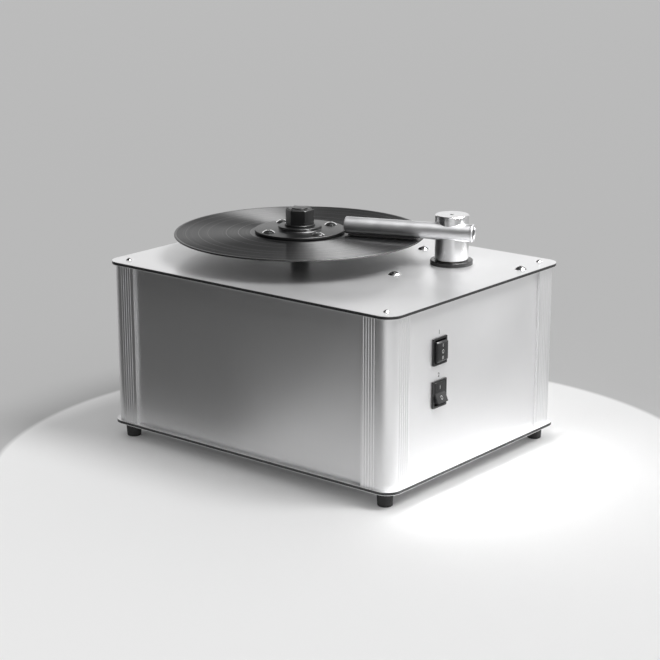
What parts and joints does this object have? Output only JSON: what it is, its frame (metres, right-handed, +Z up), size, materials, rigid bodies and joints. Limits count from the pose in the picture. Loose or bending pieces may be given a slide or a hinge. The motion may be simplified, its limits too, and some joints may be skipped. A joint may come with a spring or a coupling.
{
  "type": "record cleaning machine",
  "caption": "Box-shaped vacuum record cleaner: turntable with a black record and screw-down clamp, swinging suction arm on a round post, front rocker switches, satin metal case on feet.",
  "frame": {"origin": "middle of the footprint, on the surface that the feet stand on", "axes": "+Z up, -Y is the front with the switches, +X is the side where the arm's post stands"},
  "size_m": [0.334, 0.427, 0.2786],
  "materials": {
    "plate_core": "satin black core of a composite plate",
    "plate_skin": "satin anodised",
    "profile": "satin anodised extrusion",
    "panel": "satin anodised sheet",
    "foot": "matt black",
    "screw": "polished dome head",
    "bearing": "turned",
    "steel": "ground",
    "hub": "black",
    "mat": "matt black",
    "record": "glossy black vinyl",
    "clamp": "satin to gloss black",
    "clamp_screw": "polished",
    "ring": "satin black",
    "post": "fine satin",
    "tube": "satin chrome",
    "black_plastic": "black",
    "felt": "black felt",
    "tank": "translucent white, moulded",
    "hose": "flexible",
    "motor_case": "dark",
    "housing": "black moulded",
    "bracket": "grey",
    "switch": "black",
    "board": "green board with its components"
  },
  "bodies": {
    "cabinet": {"top_plate_core": "plate_core", "bottom_plate_core": "plate_core", "top_plate_skins": "plate_skin", "bottom_plate_skins": "plate_skin", "corner_profile_front_left": "profile", "corner_profile_front_right": "profile", "corner_profile_rear_right": "profile", "corner_profile_rear_left": "profile", "front_panel": "panel", "rear_panel": "panel", "left_panel": "panel", "right_panel": "panel", "foot_front_left": "foot", "foot_front_right": "foot", "foot_rear_left": "foot", "foot_rear_right": "foot", "foot_screws": "screw", "corner_screws": "screw", "tank_screws": "screw", "bracket_screws": "screw", "spindle_bearing": "bearing", "arm_bush": "bearing", "arm_base_ring": "ring", "drain_spout": "black_plastic", "mains_inlet": "black_plastic", "waste_tank": "tank", "drain_hose": "hose", "suction_elbow": "hose", "wiring": "hose", "drive_motor": "motor_case", "vacuum_motor": "motor_case", "vacuum_housing": "housing", "drive_bracket": "bracket", "motor_switch_body": "switch", "vacuum_switch_body": "switch", "control_board": "board"},
    "spindle": {"spindle_shaft": "steel", "output_gear": "steel", "hub": "hub", "hub_mat": "mat", "record": "record"},
    "motor_shaft": {"motor_pinion": "steel"},
    "fan": {"vacuum_impeller": "housing"},
    "clamp_plate": {"clamp_disc": "clamp", "clamp_screws": "clamp_screw", "clamp_seal": "mat"},
    "clamp_knob": {"clamp_knob": "clamp"},
    "arm_carriage": {"spring_seat": "black_plastic", "lift_spring": "steel"},
    "arm": {"arm_post": "post", "arm_shaft": "steel", "arm_tube": "tube", "arm_tip_cap": "tube", "arm_rear_plug": "black_plastic", "felt_strips": "felt", "post_screw": "screw"},
    "motor_rocker": {"motor_switch_rocker": "switch"},
    "vacuum_rocker": {"vacuum_switch_rocker": "switch"},
    "fuse_drawer": {"fuse_drawer": "black_plastic"},
    "drain_plug": {"drain_plug": "black_plastic"}
  },
  "joints": [
    {"name": "spindle_turn", "type": "hinge", "parent": "cabinet", "child": "spindle", "pos_m": [0, 0.0515, 0.2], "axis": [0, 0, 1], "continuous": true},
    {"name": "motor_turn", "type": "hinge", "parent": "cabinet", "child": "motor_shaft", "pos_m": [-0.00781, 0.09582, 0.16], "axis": [0, 0, 1], "continuous": true},
    {"name": "fan_turn", "type": "hinge", "parent": "cabinet", "child": "fan", "pos_m": [-0.072, -0.1, 0.1], "axis": [0, 0, 1], "continuous": true},
    {"name": "clamp_slide", "type": "slide", "parent": "spindle", "child": "clamp_plate", "axis": [0, 0, 1], "range_m": [0, 0.012]},
    {"name": "knob_turn", "type": "hinge", "parent": "clamp_plate", "child": "clamp_knob", "pos_m": [0, 0.0515, 0.26], "axis": [0, 0, 1], "range_deg": [0, 1440]},
    {"name": "arm_lift", "type": "slide", "parent": "cabinet", "child": "arm_carriage", "axis": [0, 0, 1], "range_m": [0, 0.006], "deforming": ["lift_spring"]},
    {"name": "arm_swing", "type": "hinge", "parent": "arm_carriage", "child": "arm", "pos_m": [0.0771, -0.1169, 0.2], "axis": [0, 0, 1], "range_deg": [-100, 0]},
    {"name": "motor_rocker_tilt", "type": "hinge", "parent": "cabinet", "child": "motor_rocker", "pos_m": [-0.0696, -0.20275, 0.1609], "axis": [1, 0, 0], "range_deg": [-12, 12]},
    {"name": "vacuum_rocker_tilt", "type": "hinge", "parent": "cabinet", "child": "vacuum_rocker", "pos_m": [-0.0696, -0.20275, 0.1119], "axis": [1, 0, 0], "range_deg": [0, 24]},
    {"name": "fuse_drawer_slide", "type": "slide", "parent": "cabinet", "child": "fuse_drawer", "axis": [0, 1, 0], "range_m": [0, 0.016]},
    {"name": "drain_plug_slide", "type": "slide", "parent": "cabinet", "child": "drain_plug", "axis": [0, 1, 0], "range_m": [0, 0.015]}
  ],
  "couplings": [
    {"joint": "motor_turn", "follows": "spindle_turn", "ratio": -4},
    {"joint": "knob_turn", "follows": "clamp_slide", "rad_per_m": 2094.4}
  ]
}
